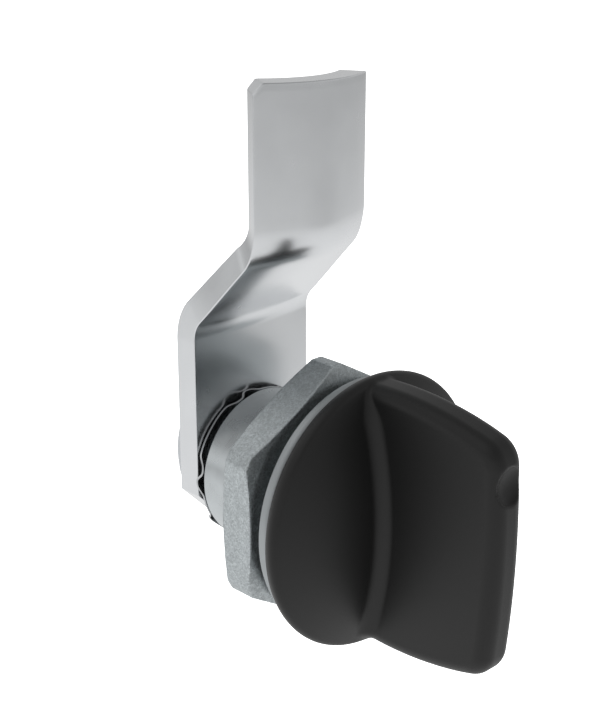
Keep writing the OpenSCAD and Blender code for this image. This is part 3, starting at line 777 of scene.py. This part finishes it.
def wave_tree():
    """Geometry Nodes tree of the wave washer: a flat strip swept round a rippled circle."""
    tree, given = node_tree("wave_washer", (
        "Mean Radius", "Strip Width", "Strip Thickness", "Lift", "Repeats", "Turn", "Station"))
    ring = add_node(tree, "GeometryNodeCurvePrimitiveCircle", {
        "Resolution": 300, "Radius": given["Mean Radius"]})
    along = add_node(tree, "GeometryNodeSplineParameter")
    bearing = add_node(tree, "ShaderNodeMath", {
        0: along.outputs["Factor"], 1: 2 * math.pi}, operation="MULTIPLY")
    offset = add_node(tree, "ShaderNodeMath", {0: bearing.outputs[0], 1: given["Turn"]}, operation="SUBTRACT")
    half_period = add_node(tree, "ShaderNodeMath", {0: math.pi, 1: given["Repeats"]}, operation="DIVIDE")
    swing = add_node(tree, "ShaderNodeMath", {
        0: offset.outputs[0], 1: half_period.outputs[0]}, operation="PINGPONG")
    share = add_node(tree, "ShaderNodeMath", {
        0: swing.outputs[0], 1: half_period.outputs[0]}, operation="DIVIDE")
    folds = add_node(tree, "ShaderNodeFloatCurve", {"Value": share.outputs[0]})
    curve = folds.mapping.curves[0]
    curve.points[0].location, curve.points[1].location = (0, 0.825), (1, 0)
    for place in ((0.3, 0.875), (0.52, 0), (0.69, 1), (0.88, 0)):
        curve.points.new(*place)
    for point in curve.points:
        point.handle_type = "AUTO_CLAMPED"
    folds.mapping.update()
    height = add_node(tree, "ShaderNodeMapRange", {
        "Value": folds.outputs["Value"], "To Min": -1.0, "To Max": 1.0})
    rise = add_node(tree, "ShaderNodeMath", {
        0: height.outputs["Result"], 1: given["Lift"]}, operation="MULTIPLY")
    down = add_node(tree, "ShaderNodeMath", {0: rise.outputs[0], 1: -1.0}, operation="MULTIPLY")
    shift = add_node(tree, "ShaderNodeCombineXYZ", {"Z": down.outputs[0]})
    path = add_node(tree, "GeometryNodeSetPosition", {
        "Geometry": ring.outputs["Curve"], "Offset": shift.outputs["Vector"]})
    upright = add_node(tree, "GeometryNodeSetCurveNormal", {"Curve": path.outputs["Geometry"]}, mode="Z_UP")
    strip = add_node(tree, "GeometryNodeCurvePrimitiveQuadrilateral", {
        "Width": given["Strip Width"], "Height": given["Strip Thickness"]})
    sweep = add_node(tree, "GeometryNodeCurveToMesh", {
        "Curve": upright.outputs["Curve"], "Profile Curve": strip.outputs["Curve"]})
    end_tree(tree, sweep.outputs["Mesh"], given, given["Station"])
    return tree


def lock_tree():
    """Geometry Nodes tree of the lock washer: a flat ring with twisted teeth set round it."""
    tree, given = node_tree("toothed_lock_washer", (
        "Ring Radius", "Ring Width", "Ring Thickness", "Tooth Radius", "Tooth Length", "Tooth Width",
        "Tooth Thickness", "Twist", "Teeth", "Station"))
    ring = add_node(tree, "GeometryNodeCurvePrimitiveCircle", {
        "Resolution": 96, "Radius": given["Ring Radius"]})
    upright = add_node(tree, "GeometryNodeSetCurveNormal", {"Curve": ring.outputs["Curve"]}, mode="Z_UP")
    strip = add_node(tree, "GeometryNodeCurvePrimitiveQuadrilateral", {
        "Width": given["Ring Width"], "Height": given["Ring Thickness"]})
    flat = add_node(tree, "GeometryNodeCurveToMesh", {
        "Curve": upright.outputs["Curve"], "Profile Curve": strip.outputs["Curve"]})
    count = add_node(tree, "FunctionNodeFloatToInt", {"Float": given["Teeth"]})
    seats = add_node(tree, "GeometryNodeMeshCircle", {
        "Vertices": count.outputs["Integer"], "Radius": given["Tooth Radius"]})
    block = add_node(tree, "ShaderNodeCombineXYZ", {
        "X": given["Tooth Length"], "Y": given["Tooth Width"], "Z": given["Tooth Thickness"]})
    tooth = add_node(tree, "GeometryNodeMeshCube", {"Size": block.outputs["Vector"]})
    number = add_node(tree, "GeometryNodeInputIndex")
    share = add_node(tree, "ShaderNodeMath", {0: number.outputs[0], 1: given["Teeth"]}, operation="DIVIDE")
    bearing = add_node(tree, "ShaderNodeMath", {0: share.outputs[0], 1: 2 * math.pi}, operation="MULTIPLY")
    turn = add_node(tree, "ShaderNodeCombineXYZ", {"X": given["Twist"], "Z": bearing.outputs[0]})
    teeth = add_node(tree, "GeometryNodeInstanceOnPoints", {
        "Points": seats.outputs["Mesh"], "Instance": tooth.outputs["Mesh"],
        "Rotation": turn.outputs["Vector"]})
    both = add_node(tree, "GeometryNodeJoinGeometry")
    for part in (flat.outputs["Mesh"], teeth.outputs["Instances"]):
        tree.links.new(part, both.inputs["Geometry"])
    end_tree(tree, both.outputs["Geometry"], given, given["Station"])
    return tree


class LATCH_OT_washers(bpy.types.Operator):
    """Grow the wave washer and the toothed lock washer"""
    bl_idname = "latch.washers"
    bl_label = "Washers"

    def execute(self, context):
        w = settings_of(LatchWashers)
        wave = grown_piece("wave_washer_strip", wave_tree(), {
            "Mean Radius": (w.wave_in_d + w.wave_out_d) / 4 * MM,
            "Strip Width": (w.wave_out_d - w.wave_in_d) / 2 * MM, "Strip Thickness": w.wave_t * MM,
            "Lift": w.wave_lift * MM, "Repeats": float(w.wave_n), "Turn": w.wave_turn,
            "Station": w.wave_y * MM}, "spring_steel")
        settle(wave, "spring_steel", TURNING_BODY, "wave_washer")
        overlap, tooth_w, twist = 0.3, 2.2, math.radians(9)
        lock = grown_piece("lock_washer_toothed", lock_tree(), {
            "Ring Radius": (w.lock_in_d + w.lock_root_d) / 4 * MM,
            "Ring Width": (w.lock_root_d - w.lock_in_d) / 2 * MM, "Ring Thickness": w.lock_t * 0.8 * MM,
            "Tooth Radius": (w.lock_out_d + w.lock_root_d - 2 * overlap) / 4 * MM,
            "Tooth Length": ((w.lock_out_d - w.lock_root_d) / 2 + overlap) * MM,
            "Tooth Width": tooth_w * MM, "Tooth Thickness": w.lock_t * 0.45 * MM, "Twist": twist,
            "Teeth": float(w.lock_teeth), "Station": w.lock_y * MM}, "spring_steel")
        settle(lock, "spring_steel", TURNING_BODY, "lock_washer")
        return {"FINISHED"}


def cam_line(c):
    """Middle line of the cam's front face as rows of station, height and heading."""
    outer_r = c.bend_r + c.thickness
    sin, cos = math.sin(c.crank), math.cos(c.crank)
    slant_l = (c.crank_y - (c.bend_r + outer_r) * (1 - cos)) / sin
    slant_y, slant_z = c.front_y - c.bend_r * (1 - cos), c.crank_z + c.bend_r * sin
    tip_y, tip_z = c.front_y - c.crank_y, slant_z + slant_l * cos + outer_r * sin
    turns = np.linspace(0, c.crank, 15)
    low = [(c.front_y - c.bend_r * (1 - math.cos(a)), c.crank_z + c.bend_r * math.sin(a), a) for a in turns]
    slant = [(slant_y - s * sin, slant_z + s * cos, c.crank) for s in np.linspace(0, slant_l, 24)[1:-1]]
    high = [(tip_y + outer_r * (1 - math.cos(a)), tip_z - outer_r * math.sin(a), a) for a in turns[::-1]]
    return low + slant + high


def rounded_section(c, inset, columns=40, corner=5):
    """Outline of the cam's section as (x, depth), front from left to right, then back."""
    half, r = c.width / 2 - inset, max(c.edge_r - inset, 0.02)
    across = np.linspace(-half + r, half - r, columns + 1)
    sweep = np.linspace(0, math.pi / 2, corner + 1)[:-1]
    front = [(-half + r - r * math.cos(a), inset + r - r * math.sin(a)) for a in sweep]
    front += [(x, inset) for x in across]
    front += [(half - r + r * math.cos(a), inset + r - r * math.sin(a)) for a in sweep[::-1]]
    back = [(x, c.thickness - d) for x, d in front[::-1]]
    return np.array(front + back)


def cam_points(c, section, station, height, heading):
    """Section points set on the cam's middle line, with the crown worked in."""
    x, depth = section.T
    u = np.clip((height - c.crank_z) / (c.crown_z - c.crank_z), 0, 1)
    share = (u + ease(u, 0, 1)) / 2
    bend = x / c.crown_r
    normal = np.stack([-share * np.tan(bend), np.ones_like(x), np.full_like(x, math.tan(heading))], -1)
    normal /= np.linalg.norm(normal, axis=1)[:, None]
    front = np.stack([
        x + share * (c.crown_r * np.sin(bend) - x), station + share * c.crown_r * (1 - np.cos(bend)),
        np.broadcast_to(height, x.shape)], -1)
    return front + normal * depth[:, None]


class LATCH_OT_cam(bpy.types.Operator):
    """Bend and crown the cam, round its edges and cut its square hole"""
    bl_idname = "latch.cam"
    bl_label = "Cam"

    def execute(self, context):
        c = settings_of(LatchCam)
        line = cam_line(c)
        tip_y, tip_z, _ = line[-1]
        rows = []

        def tail_end(x):
            return -c.tail + np.maximum(0, c.tail_cut - c.width / 2 + np.abs(x))

        def tip_end(x):
            return c.length - x * math.tan(c.tip_slope) - np.maximum(0, c.tip_cut - c.width / 2 - x)

        rounding = np.linspace(math.pi / 2, 0, 5)
        for a in rounding:
            section = rounded_section(c, c.edge_r * (1 - math.cos(a)))
            rows.append(cam_points(c, section, c.front_y,
                                   tail_end(section[:, 0]) + c.edge_r * (1 - math.sin(a)), 0))
        full = rounded_section(c, 0)
        for s in np.linspace(0, 1, 16)[1:-1]:
            start = tail_end(full[:, 0]) + c.edge_r
            rows.append(cam_points(c, full, c.front_y, start + (c.crank_z - start) * s, 0))
        rows += [cam_points(c, full, y, z, heading) for y, z, heading in line]
        for s in np.linspace(0, 1, 20)[1:-1]:
            stop = tip_end(full[:, 0]) - c.edge_r
            rows.append(cam_points(c, full, tip_y, tip_z + (stop - tip_z) * s, 0))
        for a in rounding[::-1]:
            section = rounded_section(c, c.edge_r * (1 - math.cos(a)))
            rows.append(cam_points(c, section, tip_y,
                                   tip_end(section[:, 0]) - c.edge_r * (1 - math.sin(a)), 0))
        ring, last = len(full), len(rows) - 1
        pairs = [(i, (i + 1) % ring) for i in range(ring)]
        faces = [(ring * j + i, ring * (j + 1) + i, ring * (j + 1) + n, ring * j + n)
                 for j in range(last) for i, n in pairs]
        for i in range(ring // 2 - 1):
            cap = (i, i + 1, ring - 2 - i, ring - 1 - i)
            faces += [cap, tuple(ring * last + k for k in cap[::-1])]
        cam = mesh_piece("cam_cranked", np.concatenate(rows), faces)
        half = c.square / 2
        cut_prism(cam, [(-half, -half), (half, -half), (half, half), (-half, half)],
                  c.front_y - 1, c.front_y + c.thickness + 1)
        flatten_normals(cam)
        settle(cam, "stainless_steel", TURNING_BODY, "cam")
        return {"FINISHED"}


class LATCH_OT_inner(bpy.types.Operator):
    """Give the CAD pieces that stay their finish"""
    bl_idname = "latch.inner"
    bl_label = "Inner Pieces"

    def execute(self, context):
        slots = {s["node"]: s["material_slot"] for s in frame["record"]["subparts"]}
        for name, node in frame["nodes"].items():
            node.data.materials.clear()
            node.data.materials.append(material_for(slots[name]))
        return {"FINISHED"}


def studio_world():
    """White to the camera, and to metal a dim room, darker to its ceiling, with a low glow at its left."""
    world = bpy.data.worlds.new("studio")
    world.use_nodes = True
    tree = world.node_tree
    tree.nodes.clear()
    path = add_node(tree, "ShaderNodeLightPath")
    direction = add_node(tree, "ShaderNodeTexCoord")
    axes = add_node(tree, "ShaderNodeSeparateXYZ", {"Vector": direction.outputs["Generated"]})
    sky = add_node(tree, "ShaderNodeMapRange", {
        "Value": axes.outputs["Z"], "From Min": 0.2, "From Max": 0.75, "To Min": 0.55, "To Max": 0.34},
        interpolation_type="SMOOTHSTEP")
    side = add_node(tree, "ShaderNodeMapRange", {
        "Value": axes.outputs["X"], "From Min": -0.7, "From Max": 0.6, "To Min": 0.92, "To Max": 1.15})
    room = add_node(tree, "ShaderNodeMath", {
        0: sky.outputs["Result"], 1: side.outputs["Result"]}, operation="MULTIPLY")
    low = add_node(tree, "ShaderNodeMapRange", {
        "Value": axes.outputs["Z"], "From Min": 0.1, "From Max": 0.4, "To Min": 0.5, "To Max": 0.0},
        interpolation_type="SMOOTHSTEP")
    left = add_node(tree, "ShaderNodeMapRange", {
        "Value": axes.outputs["X"], "From Min": -0.65, "From Max": -0.3, "To Min": 1.0, "To Max": 0.0},
        interpolation_type="SMOOTHSTEP")
    lit = add_node(tree, "ShaderNodeMath", {
        0: low.outputs["Result"], 1: left.outputs["Result"], 2: room.outputs[0]}, operation="MULTIPLY_ADD")
    level = add_node(tree, "ShaderNodeMath", {
        0: lit.outputs[0], 1: path.outputs["Is Camera Ray"]}, operation="MAXIMUM")
    light = add_node(tree, "ShaderNodeBackground", {"Strength": level.outputs[0]})
    light.inputs["Color"].default_value = (1, 1, 1, 1)
    add_node(tree, "ShaderNodeOutputWorld", {"Surface": light.outputs["Background"]})
    return world


def floor_material(rgba):
    """Pale matt paper: white to the camera; to metal a glowing pool of light with a darker painted patch at
    the front right; and still open to a soft shadow.
    """
    material = bpy.data.materials.new("pale_floor_paper")
    material.use_nodes = True
    tree = material.node_tree
    tree.nodes.clear()
    path = add_node(tree, "ShaderNodeLightPath")
    coords = add_node(tree, "ShaderNodeTexCoord")
    pool_centre, dip_centre = (-0.04, 0.06, -0.07), (0.21, -0.215, -0.07)
    away = add_node(tree, "ShaderNodeVectorMath", {
        0: coords.outputs["Object"], 1: pool_centre}, operation="DISTANCE")
    pool = add_node(tree, "ShaderNodeMapRange", {
        "Value": away.outputs["Value"], "From Min": 0.15, "From Max": 0.7, "To Min": 1.0, "To Max": 0.5})
    # Painted shade: a darker patch in the floor's glow at the front right, which the cam's tip reflects.
    aside = add_node(tree, "ShaderNodeVectorMath", {
        0: coords.outputs["Object"], 1: dip_centre}, operation="DISTANCE")
    dip = add_node(tree, "ShaderNodeMapRange", {
        "Value": aside.outputs["Value"], "From Min": 0.03, "From Max": 0.12, "To Min": 0.76, "To Max": 1.0},
        interpolation_type="SMOOTHSTEP")
    light = add_node(tree, "ShaderNodeMath", {
        0: pool.outputs["Result"], 1: dip.outputs["Result"]}, operation="MULTIPLY")
    level = add_node(tree, "ShaderNodeMath", {
        0: path.outputs["Is Camera Ray"], 1: 1.06, 2: light.outputs[0]}, operation="MULTIPLY_ADD")
    seen = add_node(tree, "ShaderNodeMath", {
        0: path.outputs["Is Camera Ray"], 1: path.outputs["Is Glossy Ray"]}, operation="MAXIMUM")
    shown = add_node(tree, "ShaderNodeMath", {
        0: seen.outputs[0], 1: path.outputs["Is Transmission Ray"]}, operation="MAXIMUM")
    share = add_node(tree, "ShaderNodeMath", {0: shown.outputs[0], 1: 0.94}, operation="MULTIPLY")
    paper = add_node(tree, "ShaderNodeBsdfDiffuse", {"Color": rgba})
    glow = add_node(tree, "ShaderNodeEmission", {"Strength": level.outputs[0]})
    both = add_node(tree, "ShaderNodeMixShader", {
        0: share.outputs[0], 1: paper.outputs["BSDF"], 2: glow.outputs["Emission"]})
    add_node(tree, "ShaderNodeOutputMaterial", {"Surface": both.outputs["Shader"]})
    return material


class LATCH_OT_stage(bpy.types.Operator):
    """Set the camera, the floor and the studio light"""
    bl_idname = "latch.stage"
    bl_label = "Stage"

    def execute(self, context):
        s = settings_of(LatchStage)
        scene = context.scene
        camera = bpy.data.objects.new("camera", bpy.data.cameras.new("camera"))
        camera.data.lens = s.camera_lens
        camera.data.clip_start, camera.data.clip_end = 0.005, 50
        camera.location = Vector((s.camera_x, s.camera_y, s.camera_z)) * MM
        heading = Vector((math.sin(s.camera_yaw) * math.cos(s.camera_pitch),
                          math.cos(s.camera_yaw) * math.cos(s.camera_pitch), -math.sin(s.camera_pitch)))
        camera.rotation_euler = heading.to_track_quat("-Z", "Y").to_euler()
        scene.collection.objects.link(camera)
        scene.camera = camera
        half = s.floor_w / 2
        corners = ((-half, -half), (half, -half), (half, half), (-half, half))
        floor = mesh_piece("floor", [(x, y, s.floor_z) for x, y in corners], [(0, 1, 2, 3)])
        floor.data.materials.append(floor_material(s.floor_colour))
        scene.world = studio_world()
        # Each lamp's place and width in metres, and its power in watts.
        lamps = {
            "key_softbox": ((-0.30, 0.05, 0.47), 0.5, 0.35),
            "rear_softbox": ((-0.07, 0.42, 0.42), 0.3, 0.15),
        }
        for name, (place, width, power) in lamps.items():
            lamp = bpy.data.objects.new(name, bpy.data.lights.new(name, "AREA"))
            lamp.data.size, lamp.data.energy = width, power
            lamp.location = place
            lamp.rotation_euler = (-Vector(place)).to_track_quat("-Z", "Y").to_euler()
            scene.collection.objects.link(lamp)
        scene.view_settings.view_transform = "Standard"
        return {"FINISHED"}


OPERATORS = (LATCH_OT_knob, LATCH_OT_hexagons, LATCH_OT_housing, LATCH_OT_washers, LATCH_OT_cam,
             LATCH_OT_inner, LATCH_OT_stage)


class LATCH_PT_pieces(bpy.types.Panel):
    """The latch's pieces and their sizes"""
    bl_idname = "LATCH_PT_pieces"
    bl_label = "Cam Latch"
    bl_space_type = "VIEW_3D"
    bl_region_type = "UI"
    bl_category = "Latch"

    def draw(self, context):
        for operator in OPERATORS:
            self.layout.operator(operator.bl_idname)
        for group_class in SIZE_GROUPS:
            box = self.layout.box()
            box.label(text=group_class.__doc__)
            for key in group_class.__annotations__:
                box.prop(getattr(context.scene, scene_name(group_class)), key)


CLASSES = SIZE_GROUPS + OPERATORS + (LATCH_PT_pieces,)


def register():
    for cls in CLASSES:
        bpy.utils.register_class(cls)
    for group_class in SIZE_GROUPS:
        setattr(bpy.types.Scene, scene_name(group_class), bpy.props.PointerProperty(type=group_class))


def unregister():
    for group_class in SIZE_GROUPS:
        delattr(bpy.types.Scene, scene_name(group_class))
    for cls in reversed(CLASSES):
        bpy.utils.unregister_class(cls)


def main():
    register()
    bpy.ops.latch.knob()
    bpy.ops.latch.hexagons()
    bpy.ops.latch.housing()
    bpy.ops.latch.washers()
    bpy.ops.latch.cam()
    bpy.ops.latch.inner()
    bpy.ops.latch.stage()


if __name__ == "__main__":
    main()
